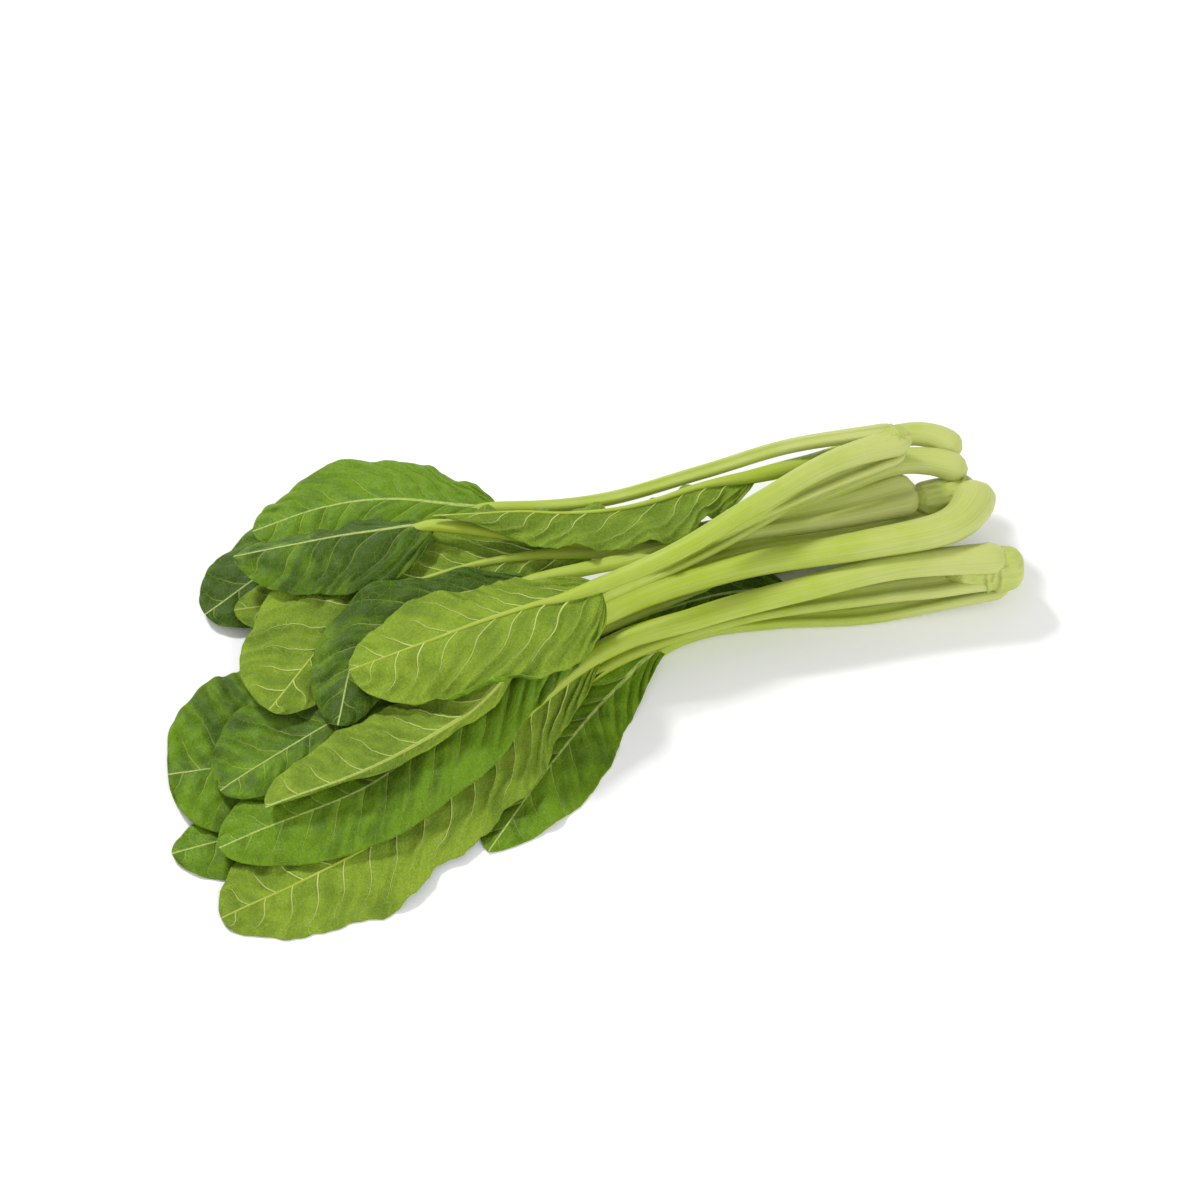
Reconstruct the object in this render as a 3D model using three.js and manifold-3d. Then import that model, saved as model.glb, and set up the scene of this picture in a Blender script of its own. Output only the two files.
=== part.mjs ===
// Yu choy bunch: three heads of leafy greens lying in one loose pile, as bought.
// Millimetres, +Z up, the surface it lies on at z = 0. The cut ends point to +X and the leaf tips to -X.
//
// Each leaf is a stalk and a blade along one curve. The pieces are laid down one after another, and each is
// lifted just enough to lie on what is already there. Where stalks of one head crowd together at its stem,
// the later one is cut back from the earlier one.

import * as THREE from "three";
import { mergeVertices } from "three/addons/utils/BufferGeometryUtils.js";
import Module from "manifold-3d";

const wasm = await Module();
wasm.setup();

const BLADE_THICKNESS = 1.2;
const TOUCH_GAP = 0.3; // between pieces that touch
const AIR_GAP = 1.4; // between a leaf and what it lies on
const STALK_SIDES = 8;
const STALK_STEP = 13; // mm between the rings of a stalk
const BLADE_STEP = 12; // mm between the rows of a blade
const BLADE_COLUMNS = 7;
const TIP_HALF_WIDTH = 2;
const PILE_CENTRE = [-1, 5.5]; // middle of the pile's footprint, which becomes the origin

// Where each head's stem was cut, where its leaves take over, and its radius.
const HEADS = {
  front: { cut: [176, -52, 17], crown: [152, -44, 17], radius: 9.5 },
  middle: { cut: [173, -15, 22], crown: [150, -11, 24], radius: 9.5 },
  top: { cut: [149, 4, 50], crown: [132, 4, 49], radius: 6 },
};

// One entry for each leaf. stalk and blade are points on its centre line; the blade starts where the stalk
// ends. width: the stalk at its base and at the blade. near and far are the blade's two halves, towards -Y
// and +Y: half width, place of the widest point (0 base, 1 tip), bluntness (smaller is blunter), and the
// slope at the midrib and extra slope gained by the margin, in degrees, positive up.
// The leaves are listed in the order in which they are laid down.
const LEAVES = [
  {
    name: "front_4", width: [11, 6],
    stalk: [[164, -44, 20], [145, -35, 12], [119, -27, 7], [88, -19, 6]],
    blade: [[61, -11, 5], [31, -9, 4], [5, -11, 3]],
    near: [14, 0.5, 0.6, -4, -6], far: [20, 0.5, 0.6, 0, -6],
  },
  {
    name: "front_3", width: [13, 7],
    stalk: [[171, -53, 9], [117, -42, 3], [76, -29, 3], [38, -24, 4]],
    blade: [[4, -37, 3], [-30, -58, 2], [-68, -86, 1]],
    near: [20, 0.62, 0.75, -4, -6], far: [24, 0.5, 0.6, -4, -6],
  },
  {
    name: "front_2", width: [17, 6],
    stalk: [[168, -50, 15], [142, -46, 15], [119, -39, 13], [66, -28, 11], [11, -26, 7]],
    blade: [[-47, -41, 5], [-110, -47, 3], [-181, -42, 2]],
    near: [23, 0.7, 0.5, -4, -6], far: [22, 0.6, 0.5, -4, -6],
  },
  {
    name: "front_1", width: [16, 9],
    stalk: [[169, -50, 25], [127, -39, 27], [85, -34, 25], [44, -29, 22], [2, -27, 18]],
    blade: [[-52, -48, 12], [-112, -70, 6], [-172, -76, 2]],
    near: [26, 0.6, 0.4, -8, -10], far: [34, 0.6, 0.5, -4, -8],
  },
  {
    name: "middle_6", width: [12, 7],
    stalk: [[166, -14, 14], [130, -12, 6], [80, -4, 3], [8, -8, 5]],
    blade: [[-60, -21, 6], [-122, -20, 5], [-172, -8, 3]],
    near: [38, 0.6, 0.35, -2, -4], far: [56, 0.64, 0.3, -2, -4],
  },
  {
    name: "middle_7", width: [12, 7],
    stalk: [[166, -6, 16], [134, 6, 7], [90, 16, 3], [30, 28, 5], [-20, 46, 9]],
    blade: [[-60, 62, 11], [-98, 68, 9], [-136, 58, 5]],
    near: [26, 0.6, 0.45, -4, -6], far: [26, 0.6, 0.45, -4, -10],
  },
  {
    name: "middle_8", width: [10, 6],
    stalk: [[164, -9, 18], [128, -4, 14], [80, 3, 14], [30, 12, 14], [-12, 24, 15]],
    blade: [[-53, 33, 14], [-90, 42, 12], [-125, 52, 10]],
    near: [18, 0.6, 0.5, -4, -6], far: [18, 0.6, 0.5, -4, -6],
  },
  {
    name: "middle_5", width: [12, 7],
    stalk: [[166, -16, 22], [127, -16, 24], [80, -6, 24], [40, -3, 22], [6, -8, 19]],
    blade: [[-41, -30, 17], [-100, -49, 13], [-164, -50, 8]],
    near: [24, 0.6, 0.5, -8, -12], far: [28, 0.6, 0.5, -4, -8],
  },
  {
    name: "top_1", width: [8, 6],
    stalk: [[146, 8, 51], [108, 24, 40], [70, 31, 31], [30, 39, 23], [-10, 54, 19]],
    blade: [[-48, 75, 18], [-76, 84, 15], [-106, 86, 11]],
    near: [30, 0.5, 0.5, -4, -6], far: [25, 0.52, 0.6, -4, -16],
  },
  {
    name: "top_4", width: [9, 6],
    stalk: [[146, 6, 44], [114, 3, 40], [60, -5, 32], [-9, -12, 24]],
    blade: [[-60, -14, 19], [-110, -18, 14], [-156, -28, 9]],
    near: [20, 0.6, 0.4, -6, -10], far: [33, 0.68, 0.4, -4, -8],
  },
  {
    name: "middle_3", width: [16, 8],
    stalk: [[171, -9, 31], [158, 0, 33], [140, 4, 34], [104, 3, 31], [60, 5, 28], [19, 14, 26]],
    blade: [[-30, 27, 24], [-80, 25, 22], [-128, -4, 18]],
    near: [24, 0.6, 0.5, -8, -10], far: [34, 0.72, 0.45, 0, -8],
  },
  {
    name: "middle_2", width: [26, 6],
    stalk: [[149, -8, 28], [118, -6, 29], [86, -1, 29], [40, 8, 29], [-2, 27, 30], [-40, 47, 31]],
    blade: [[-66, 54, 31], [-92, 60, 29], [-119, 66, 26]],
    near: [26, 0.45, 0.5, -8, -10], far: [16, 0.5, 0.6, -35, -10],
  },
  {
    name: "top_3", width: [10, 6],
    stalk: [[146, 0, 46], [107, -3, 45], [60, -4, 39], [28, 0, 34], [-10, 7, 30]],
    blade: [[-46, 13, 27], [-84, 8, 24], [-106, -24, 20]],
    near: [20, 0.6, 0.5, -10, -20], far: [18, 0.6, 0.5, -6, -12],
  },
  {
    name: "middle_4", width: [16, 7],
    stalk: [[173, 1, 31], [165, 11, 33], [150, 16, 34], [118, 17, 34], [90, 19, 34]],
    blade: [[64, 21, 35], [30, 23, 36], [-4, 34, 36], [-40, 48, 35]],
    near: [23, 0.38, 1.2, -4, -10], far: [4, 0.7, 0.6, -40, -20],
  },
  {
    name: "middle_1", width: [22, 9],
    stalk: [[171, -14, 27], [165, -25, 30], [148, -33, 34], [113, -28, 33], [62, -17, 29], [11, -16, 26]],
    blade: [[-44, -37, 29], [-96, -49, 28], [-143, -46, 19]],
    near: [5, 0.5, 0.8, -60, -20], far: [25, 0.66, 0.45, -10, -10],
  },
  {
    name: "top_2", width: [15, 7],
    stalk: [[148, 2, 50], [113, 2, 52], [76, -6, 51], [42, -13, 48], [7, -14, 44]],
    blade: [[-26, -14, 41], [-58, -10, 38], [-95, -8, 33]],
    near: [31, 0.42, 0.42, -6, -12], far: [26, 0.55, 0.5, -8, -14],
  },
];

const SLOTS = {
  stem: { color: 0xdfe6ac, roughness: 0.55 },
  stalk: { color: 0xb9d27a, roughness: 0.4 },
  blade: { color: 0x5f9436, roughness: 0.6 },
};

const degrees = THREE.MathUtils.degToRad;
const smooth = (x, low, high) => THREE.MathUtils.smoothstep(x, low, high);
const toVector = (point) => new THREE.Vector3(...point);

// ---- solids -------------------------------------------------------------------------------------------

// A closed skin over rings that all have the same number of points, given in the same turning sense.
function loft(rings) {
  const count = rings[0].length;
  const positions = rings.flat().flatMap((point) => point.toArray());
  const index = [];
  for (let row = 0; row + 1 < rings.length; row += 1) {
    for (let i = 0; i < count; i += 1) {
      const a = row * count + i;
      const b = row * count + ((i + 1) % count);
      index.push(a, b + count, b, a, a + count, b + count);
    }
  }
  const last = (rings.length - 1) * count;
  for (let i = 0; i + 1 < count / 2; i += 1) {
    const [a, b, c, d] = [i, i + 1, count - 2 - i, count - 1 - i];
    index.push(a, b, c, a, c, d);
    index.push(last + a, last + c, last + b, last + a, last + d, last + c);
  }
  const geometry = new THREE.BufferGeometry();
  geometry.setAttribute("position", new THREE.Float32BufferAttribute(positions, 3));
  geometry.setIndex(index);
  return geometry;
}

function solidOf(geometry) {
  const bare = geometry.clone();
  bare.deleteAttribute("normal");
  bare.deleteAttribute("uv");
  const merged = mergeVertices(bare, 1e-5);
  const vertProperties = new Float32Array(merged.attributes.position.array);
  const triVerts = new Uint32Array(merged.index.array);
  return new wasm.Manifold(new wasm.Mesh({ numProp: 3, vertProperties, triVerts }));
}

function geometryOf(solid) {
  const mesh = solid.getMesh();
  const geometry = new THREE.BufferGeometry();
  geometry.setAttribute("position", new THREE.Float32BufferAttribute(mesh.vertProperties, 3));
  geometry.setIndex([...mesh.triVerts]);
  return geometry.toNonIndexed();
}

const largestPart = (solid) => solid.decompose().sort((a, b) => b.volume() - a.volume())[0];

// ---- leaves -------------------------------------------------------------------------------------------

// The leaf's whole centre line, and the share of its length at which the blade starts.
function centreLine(leaf) {
  const points = [...leaf.stalk, ...leaf.blade].map(toVector);
  const curve = new THREE.CatmullRomCurve3(points, false, "catmullrom", 0.5);
  curve.arcLengthDivisions = 400;
  const pieces = leaf.stalk.length + leaf.blade.length - 1;
  const lengths = curve.getLengths();
  const junction = lengths[Math.round((400 * (leaf.stalk.length - 1)) / pieces)] / lengths[400];
  return { curve, junction, length: lengths[400] };
}

// Position, sideways (towards -Y for a leaf pointing to -X) and upward directions at a share of the length.
function stationOn(curve, share) {
  const along = curve.getTangentAt(share);
  const side = new THREE.Vector3(0, 0, 1).cross(along).normalize();
  const up = along.clone().cross(side);
  return { at: curve.getPointAt(share), side, up };
}

// Rings of a half-moon section: round below the leaf's outer side, flatter on its inner side.
function stalkRings(leaf, grow) {
  const { curve, junction, length } = centreLine(leaf);
  const rows = Math.max(5, Math.round((junction * length) / STALK_STEP));
  const rings = [];
  for (let row = 0; row <= rows; row += 1) {
    const share = row / rows;
    const { at, side, up } = stationOn(curve, share * (junction - 0.5 / length));
    const halfWidth = THREE.MathUtils.lerp(leaf.width[0], leaf.width[1], share ** 0.4) / 2 + grow;
    const halfHeight = halfWidth * THREE.MathUtils.lerp(0.72, 0.85, share);
    const ring = [];
    for (let i = 0; i < STALK_SIDES; i += 1) {
      const angle = ((i + 0.5) / STALK_SIDES) * 2 * Math.PI;
      const point = at.clone().addScaledVector(side, -halfWidth * Math.cos(angle));
      point.addScaledVector(up, halfHeight * Math.sin(angle));
      point.z = Math.max(0, point.z);
      ring.push(point);
    }
    rings.push(ring);
  }
  return rings;
}

function halfWidthAt(share, [widest, place, bluntness]) {
  const power = Math.log(0.5) / Math.log(place);
  return Math.max(TIP_HALF_WIDTH, widest * Math.sin(Math.PI * share ** power) ** bluntness);
}

// How far out and up a half of the blade has gone at a share of its width, for unit width.
function crossSection(share, slope, curl) {
  const bend = Math.abs(curl) < 1e-6 ? 1e-6 : curl;
  const out = (Math.sin(slope + bend * share) - Math.sin(slope)) / bend;
  const up = (Math.cos(slope) - Math.cos(slope + bend * share)) / bend;
  return { out, up };
}

// The blade's middle surface: rows from the stalk to the tip, columns from the far to the near margin.
function bladeGrid(leaf) {
  const { curve, junction, length } = centreLine(leaf);
  const rows = Math.round(((1 - junction) * length) / BLADE_STEP) + 1;
  const grid = [];
  for (let row = 0; row < rows; row += 1) {
    const share = row / (rows - 1);
    const start = junction + 0.5 / length;
    const { at, side, up } = stationOn(curve, start + (1 - start) * share);
    const line = [];
    for (let column = 0; column < BLADE_COLUMNS; column += 1) {
      const across = (2 * column) / (BLADE_COLUMNS - 1) - 1;
      const half = across > 0 ? leaf.near : leaf.far;
      const width = halfWidthAt(share, half);
      const section = crossSection(Math.abs(across), degrees(half[3]), degrees(half[4]));
      const point = at.clone().addScaledVector(side, Math.sign(across) * width * section.out);
      line.push(point.addScaledVector(up, width * section.up));
    }
    grid.push(line);
  }
  return grid;
}

// Gives the middle surface its thickness, as rings around the blade from its base to its tip.
function bladeRings(grid, thickness) {
  const normalAt = (row, column) => {
    const before = grid[Math.max(0, row - 1)][column];
    const after = grid[Math.min(grid.length - 1, row + 1)][column];
    const left = grid[row][Math.max(0, column - 1)];
    const right = grid[row][Math.min(BLADE_COLUMNS - 1, column + 1)];
    return after.clone().sub(before).cross(right.clone().sub(left)).normalize();
  };
  return grid.map((line, row) => {
    const normals = line.map((_, column) => normalAt(row, column));
    const upper = line.map((point, i) => point.clone().addScaledVector(normals[i], thickness / 2));
    const lower = line.map((point, i) => point.clone().addScaledVector(normals[i], -thickness / 2));
    for (const point of lower) {
      point.z = Math.max(0, point.z);
    }
    return [...upper, ...lower.reverse()];
  });
}

// ---- laying the pieces down ---------------------------------------------------------------------------

const CELL = 2.5;
const FIELD = { x: -200, y: -125, columns: 164, rows: 102 };
const SPREAD = 3; // cells by which a lift is spread before it is smoothed
const SAMPLE_STEP = 1.5; // mm between the points read on a piece's skin

const newField = (value) => new Float32Array(FIELD.columns * FIELD.rows).fill(value);

function cellOf(x, y) {
  const column = THREE.MathUtils.clamp(Math.floor((x - FIELD.x) / CELL), 0, FIELD.columns - 1);
  const row = THREE.MathUtils.clamp(Math.floor((y - FIELD.y) / CELL), 0, FIELD.rows - 1);
  return row * FIELD.columns + column;
}

// Calls visit for points all over the skin between the rings, closer together than a cell.
function sampleSkin(rings, visit) {
  const count = rings[0].length;
  for (let row = 0; row + 1 < rings.length; row += 1) {
    for (let i = 0; i < count; i += 1) {
      const next = (i + 1) % count;
      const [p, q, r, s] = [rings[row][i], rings[row][next], rings[row + 1][i], rings[row + 1][next]];
      const wide = Math.ceil(Math.max(p.distanceTo(q), r.distanceTo(s)) / SAMPLE_STEP) + 1;
      const long = Math.ceil(Math.max(p.distanceTo(r), q.distanceTo(s)) / SAMPLE_STEP) + 1;
      for (let a = 0; a <= wide; a += 1) {
        for (let b = 0; b <= long; b += 1) {
          const low = p.clone().lerp(q, a / wide);
          visit(low.lerp(r.clone().lerp(s, a / wide), b / long), row);
        }
      }
    }
  }
}

// Runs a window over the field along one axis and then the other, keeping what combine makes of it.
function sweep(field, combine) {
  const pass = (source, stepX, stepY) => source.map((_, cell) => {
    const column = cell % FIELD.columns;
    const row = Math.floor(cell / FIELD.columns);
    const window = [];
    for (let k = -SPREAD; k <= SPREAD; k += 1) {
      const x = THREE.MathUtils.clamp(column + k * stepX, 0, FIELD.columns - 1);
      const y = THREE.MathUtils.clamp(row + k * stepY, 0, FIELD.rows - 1);
      window.push(source[y * FIELD.columns + x]);
    }
    return combine(window);
  });
  return pass(pass(field, 1, 0), 0, 1);
}

const largest = (window) => Math.max(...window);
const mean = (window) => window.reduce((sum, value) => sum + value, 0) / window.length;

function readField(field, x, y) {
  const fx = (x - FIELD.x) / CELL - 0.5;
  const fy = (y - FIELD.y) / CELL - 0.5;
  const [column, row] = [Math.floor(fx), Math.floor(fy)];
  const at = (i, j) => field[j * FIELD.columns + i];
  const low = THREE.MathUtils.lerp(at(column, row), at(column + 1, row), fx - column);
  const high = THREE.MathUtils.lerp(at(column, row + 1), at(column + 1, row + 1), fx - column);
  return THREE.MathUtils.lerp(low, high, fy - row);
}

function raisePile(pile, rings) {
  sampleSkin(rings, (point) => {
    const cell = cellOf(point.x, point.y);
    pile[cell] = Math.max(pile[cell], point.z);
  });
}

const ROUNDS = 8;

// A blade is limp, so each of its points is lifted by the field around it.
function layBlade(pile, leaf) {
  const grid = bladeGrid(leaf);
  grid.forEach((line, row) => {
    line.forEach((point) => {
      point.z = Math.max(BLADE_THICKNESS / 2, point.z);
    });
  });
  const weights = grid.map((_, row) => smooth(row / (grid.length - 1), -0.1, 0.25));
  for (let round = 0; round < ROUNDS; round += 1) {
    const need = newField(0);
    sampleSkin(bladeRings(grid, BLADE_THICKNESS), (point, row) => {
      const cell = cellOf(point.x, point.y);
      need[cell] = Math.max(need[cell], (pile[cell] + AIR_GAP - point.z) * weights[row]);
    });
    const lift = sweep(sweep(need, largest), mean);
    grid.forEach((line, row) => line.forEach((point) => {
      point.z += weights[row] * readField(lift, point.x, point.y);
    }));
  }
  const rings = bladeRings(grid, BLADE_THICKNESS);
  raisePile(pile, rings);
  return { rings, grown: bladeRings(grid, BLADE_THICKNESS + 2 * TOUCH_GAP) };
}

// ---- the bunch ----------------------------------------------------------------------------------------

function stemRings(head, grow) {
  const [cut, crown] = [toVector(head.cut), toVector(head.crown)];
  const along = crown.clone().sub(cut);
  const length = along.length();
  along.normalize();
  const side = new THREE.Vector3(0, 0, 1).cross(along).normalize();
  const up = along.clone().cross(side);
  const nose = [[-grow, 0.6], [1.5, 0.85], [5, 1]];
  const tail = [[length * 0.6, 1.05], [length, 0.8], [length + 6 + grow, 0.3]];
  return [...nose, ...tail].map(([distance, scale]) => {
    const radius = head.radius * scale + grow;
    const ring = [];
    for (let i = 0; i < 12; i += 1) {
      const angle = ((i + 0.5) / 12) * 2 * Math.PI;
      const point = cut.clone().addScaledVector(along, distance);
      point.addScaledVector(side, -radius * Math.cos(angle)).addScaledVector(up, radius * Math.sin(angle));
      ring.push(point);
    }
    return ring;
  });
}

function layTheBunch() {
  const pile = newField(-AIR_GAP);
  const pieces = [];
  for (const [name, head] of Object.entries(HEADS)) {
    const [rings, grown] = [stemRings(head, 0), stemRings(head, TOUCH_GAP)];
    pieces.push({ name: `${name}_stem`, slot: "stem", rings, grown });
  }
  for (const leaf of LEAVES) {
    const [head, number] = leaf.name.split("_");
    const stalk = { name: `${head}_stalk_${number}`, slot: "stalk" };
    stalk.rings = stalkRings(leaf, 0);
    stalk.grown = stalkRings(leaf, TOUCH_GAP);
    raisePile(pile, stalk.rings);
    pieces.push(stalk, { name: `${head}_blade_${number}`, slot: "blade", ...layBlade(pile, leaf) });
  }
  return pieces.sort((a, b) => (a.slot === "blade") - (b.slot === "blade"));
}

function bunch() {
  const group = new THREE.Group();
  group.position.set(-PILE_CENTRE[0], -PILE_CENTRE[1], 0);
  const kept = [];
  for (const piece of layTheBunch()) {
    let solid = solidOf(loft(piece.rings));
    for (const other of kept) {
      if (solid.intersect(other.grown).volume() > 0) {
        solid = largestPart(solid.subtract(other.grown));
      }
    }
    kept.push({ grown: solidOf(loft(piece.grown)) });
    const { color, roughness } = SLOTS[piece.slot];
    const material = new THREE.MeshStandardMaterial({ color, roughness, metalness: 0 });
    const mesh = new THREE.Mesh(geometryOf(solid), material);
    mesh.name = piece.name;
    group.add(mesh);
  }
  return group;
}

const group = bunch();
export default group;
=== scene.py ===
"""Yu choy bunch: the looks of three heads of leafy greens lying in a loose pile.

Every leaf is a stalk that runs on as the blade's midrib, and a blade with raised veins. The leaves are laid
down one after another, and each lies on the ones under it. Metres, +Z up, cut ends to +X.
"""

import collections
import functools
import math

import bpy
import numpy as np
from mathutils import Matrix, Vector


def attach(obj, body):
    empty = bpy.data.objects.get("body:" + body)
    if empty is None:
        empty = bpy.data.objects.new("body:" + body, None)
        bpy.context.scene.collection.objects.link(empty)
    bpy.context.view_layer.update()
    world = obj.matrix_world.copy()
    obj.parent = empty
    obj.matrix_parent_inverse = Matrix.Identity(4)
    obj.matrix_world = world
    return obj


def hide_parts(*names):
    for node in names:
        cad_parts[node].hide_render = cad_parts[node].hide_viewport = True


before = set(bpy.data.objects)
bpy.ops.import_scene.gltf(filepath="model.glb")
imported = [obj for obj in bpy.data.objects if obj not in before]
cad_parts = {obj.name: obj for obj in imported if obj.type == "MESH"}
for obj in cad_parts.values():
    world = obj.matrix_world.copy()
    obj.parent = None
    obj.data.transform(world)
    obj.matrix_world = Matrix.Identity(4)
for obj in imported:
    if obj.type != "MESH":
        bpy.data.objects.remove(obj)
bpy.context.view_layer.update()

bl_info = {
    "name": "Yu Choy Bunch",
    "version": (1, 0, 0),
    "blender": (4, 5, 0),
    "location": "View3D > Sidebar > Yu Choy",
    "description": "Builds a loose bunch of leafy greens around its packed solids",
    "category": "Object",
}

MM = 0.001
PILE_CENTRE = (-1, 5.5)

# ---- the bunch's driving dimensions, in mm ----

# Where each head's stem was cut, where its leaves take over, and its radius.
HEADS = {
    "front": dict(cut=(176, -52, 17), crown=(152, -44, 17), radius=9.5),
    "middle": dict(cut=(173, -15, 22), crown=(150, -11, 24), radius=9.5),
    "top": dict(cut=(149, 4, 50), crown=(132, 4, 49), radius=6),
}

# One entry for each leaf, in the order in which they are laid down. stalk and blade are points on its centre
# line. width: the stalk at its base and at the blade. near and far are the blade's two halves, towards -Y and
# +Y: half width, place of the widest point, bluntness, slope at the midrib and extra slope at the margin.
# up: the side that faces up. ruffle: height of the waves in the margin. ragged: how uneven its outline is.
# tone: darker below 0, lighter above; partly the leaf's own colour and partly painted light and shade,
# lightening leaves that lie in shade and darkening leaves seen in shade. crinkle: how close together the
# waves are. rib: how thick the midrib is. rolls: margins that curl, each as its half, place, extent and turn
# in degrees. USUAL fills in the rest.
USUAL = dict(up="inner", ruffle=2.5, ragged=0.04, crinkle=1, rib=1, rolls=())
LEAVES = [
    dict(
        name="front_4", width=(11, 6), ruffle=2, tone_and_painted_light=-0.4,
        stalk=[(164, -44, 20), (145, -35, 12), (119, -27, 7), (88, -19, 6)],
        blade=[(61, -11, 5), (31, -9, 4), (5, -11, 3)],
        near=(14, 0.5, 0.6, -4, -6), far=(20, 0.5, 0.6, 0, -6),
    ),
    dict(
        name="front_3", width=(13, 7), ragged=0.05, tone_and_painted_light=0.8,
        stalk=[(171, -53, 9), (117, -42, 3), (76, -29, 3), (38, -24, 4)],
        blade=[(4, -37, 3), (-30, -58, 2), (-68, -86, 1)],
        near=(20, 0.62, 0.75, -4, -6), far=(24, 0.5, 0.6, -4, -6),
    ),
    dict(
        name="front_2", width=(17, 6), ruffle=3.5, ragged=0.07, tone_and_painted_light=0.2,
        stalk=[(168, -50, 15), (142, -46, 15), (119, -39, 13), (66, -28, 11), (11, -26, 7)],
        blade=[(-47, -41, 5), (-110, -47, 3), (-181, -42, 2)],
        near=(23, 0.7, 0.5, -4, -6), far=(22, 0.6, 0.5, -4, -6),
    ),
    dict(
        name="front_1", width=(16, 9), up="outer", ruffle=3.5, ragged=0.15, tone_and_painted_light=0.3,
        stalk=[(169, -50, 25), (127, -39, 27), (85, -34, 25), (44, -29, 22), (2, -27, 18)],
        blade=[(-52, -48, 12), (-112, -70, 6), (-172, -76, 2)],
        near=(26, 0.6, 0.4, -8, -10), far=(34, 0.6, 0.5, -4, -8),
    ),
    dict(
        name="middle_6", width=(12, 7), ruffle=3.5, ragged=0.1, tone_and_painted_light=0.2,
        stalk=[(166, -14, 14), (130, -12, 6), (80, -4, 3), (8, -8, 5)],
        blade=[(-60, -21, 6), (-122, -20, 5), (-172, -8, 3)],
        near=(38, 0.6, 0.35, -2, -4), far=(56, 0.64, 0.3, -2, -4),
    ),
    dict(
        name="middle_7", width=(12, 7), tone_and_painted_light=-0.6,
        stalk=[(166, -6, 16), (134, 6, 7), (90, 16, 3), (30, 28, 5), (-20, 46, 9)],
        blade=[(-60, 62, 11), (-98, 68, 9), (-136, 58, 5)],
        near=(26, 0.6, 0.45, -4, -6), far=(26, 0.6, 0.45, -4, -10),
    ),
    dict(
        name="middle_8", width=(10, 6), up="outer", ruffle=2, tone_and_painted_light=-0.2,
        stalk=[(164, -9, 18), (128, -4, 14), (80, 3, 14), (30, 12, 14), (-12, 24, 15)],
        blade=[(-53, 33, 14), (-90, 42, 12), (-125, 52, 10)],
        near=(18, 0.6, 0.5, -4, -6), far=(18, 0.6, 0.5, -4, -6),
    ),
    dict(
        name="middle_5", width=(12, 7), ruffle=3, tone_and_painted_light=0.8,
        stalk=[(166, -16, 22), (127, -16, 24), (80, -6, 24), (40, -3, 22), (6, -8, 19)],
        blade=[(-41, -30, 17), (-100, -49, 13), (-164, -50, 8)],
        near=(24, 0.6, 0.5, -8, -12), far=(28, 0.6, 0.5, -4, -8),
    ),
    dict(
        name="top_1", width=(8, 6), tone_and_painted_light=0.8,
        stalk=[(146, 8, 51), (108, 24, 40), (70, 31, 31), (30, 39, 23), (-10, 54, 19)],
        blade=[(-48, 75, 18), (-76, 84, 15), (-106, 86, 11)],
        near=(30, 0.5, 0.5, -4, -6), far=(25, 0.52, 0.6, -4, -16),
    ),
    dict(
        name="top_4", width=(9, 6), tone_and_painted_light=0,
        stalk=[(146, 6, 44), (114, 3, 40), (60, -5, 32), (-9, -12, 24)],
        blade=[(-60, -14, 19), (-110, -18, 14), (-156, -28, 9)],
        near=(20, 0.6, 0.4, -6, -10), far=(33, 0.68, 0.4, -4, -8),
    ),
    dict(
        name="middle_3", width=(16, 8), up="outer", ragged=0.06, tone_and_painted_light=0,
        stalk=[(171, -9, 31), (158, 0, 33), (140, 4, 34), (104, 3, 31), (60, 5, 28), (19, 14, 26)],
        blade=[(-30, 27, 24), (-80, 25, 22), (-128, -4, 18)],
        near=(24, 0.6, 0.5, -8, -10), far=(34, 0.72, 0.45, 0, -8),
    ),
    dict(
        name="middle_2", width=(26, 6), ruffle=2, tone_and_painted_light=-0.4,
        stalk=[(149, -8, 28), (118, -6, 29), (86, -1, 29), (40, 8, 29), (-2, 27, 30), (-40, 47, 31)],
        blade=[(-66, 54, 31), (-92, 60, 29), (-119, 66, 26)],
        near=(26, 0.45, 0.5, -8, -10), far=(16, 0.5, 0.6, -35, -10),
    ),
    dict(
        name="top_3", width=(10, 6), tone_and_painted_light=-0.5,
        stalk=[(146, 0, 46), (107, -3, 45), (60, -4, 39), (28, 0, 34), (-10, 7, 30)],
        blade=[(-46, 13, 27), (-84, 8, 24), (-106, -24, 20)],
        near=(20, 0.6, 0.5, -10, -20), far=(18, 0.6, 0.5, -6, -12),
    ),
    dict(
        name="middle_4", width=(16, 7), up="outer", ruffle=4, ragged=0.18, tone_and_painted_light=-0.3, crinkle=1.9,
        stalk=[(173, 1, 31), (165, 11, 33), (150, 16, 34), (118, 17, 34), (90, 19, 34)],
        blade=[(64, 21, 35), (30, 23, 36), (-4, 34, 36), (-40, 48, 35)],
        near=(23, 0.38, 1.2, -4, -10), far=(4, 0.7, 0.6, -40, -20),
    ),
    dict(
        name="middle_1", width=(22, 9), up="outer", rib=0.35, ruffle=2, tone_and_painted_light=0.2,
        stalk=[(171, -14, 27), (165, -25, 30), (148, -33, 34), (113, -28, 33), (62, -17, 29), (11, -16, 26)],
        blade=[(-44, -37, 29), (-96, -49, 28), (-143, -46, 19)],
        near=(5, 0.5, 0.8, -60, -20), far=(25, 0.66, 0.45, -10, -10),
    ),
    dict(
        name="top_2", width=(15, 7), up="outer", ruffle=2, tone_and_painted_light=0.4,
        stalk=[(148, 2, 50), (113, 2, 52), (76, -6, 51), (42, -13, 48), (7, -14, 44)],
        blade=[(-26, -14, 41), (-58, -10, 38), (-95, -8, 33)],
        near=(31, 0.42, 0.42, -6, -12), far=(26, 0.55, 0.5, -8, -14),
        rolls=[(1, 0.52, 0.22, 140), (1, 0.05, 0.07, 110)],
    ),
]
LEAVES = [{**USUAL, **leaf} for leaf in LEAVES]

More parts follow.
